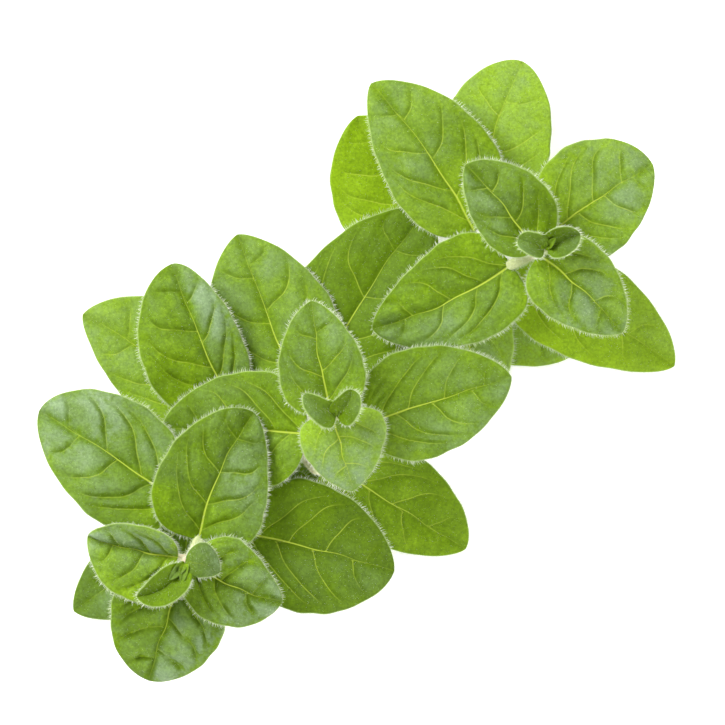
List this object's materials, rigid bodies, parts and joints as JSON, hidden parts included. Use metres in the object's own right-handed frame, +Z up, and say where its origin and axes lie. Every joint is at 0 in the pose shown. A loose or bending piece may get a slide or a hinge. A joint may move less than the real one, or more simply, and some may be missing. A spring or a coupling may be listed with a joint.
{
  "type": "marjoram bundle",
  "caption": "Small bunch of fresh marjoram for cooking or garnish: leafy sprigs lying in a row, with oval, hairy-edged green leaves in opposite pairs.",
  "frame": {"origin": "on the table under the middle of the bundle", "axes": "+Z up from the table towards the viewer; +X to the right and +Y to the upper side of the bundle seen from above, its long diagonal running from lower left to upper right"},
  "size_m": [0.1056, 0.1028, 0.0311],
  "materials": {
    "leaf": "fresh green leaf, satin with a fine felt of pale hairs",
    "stem": "pale square herb stem with short white hairs"
  },
  "bodies": {
    "root": {"sprig_left": "leaf", "sprig_middle": "leaf", "sprig_right": "leaf"}
  },
  "joints": []
}
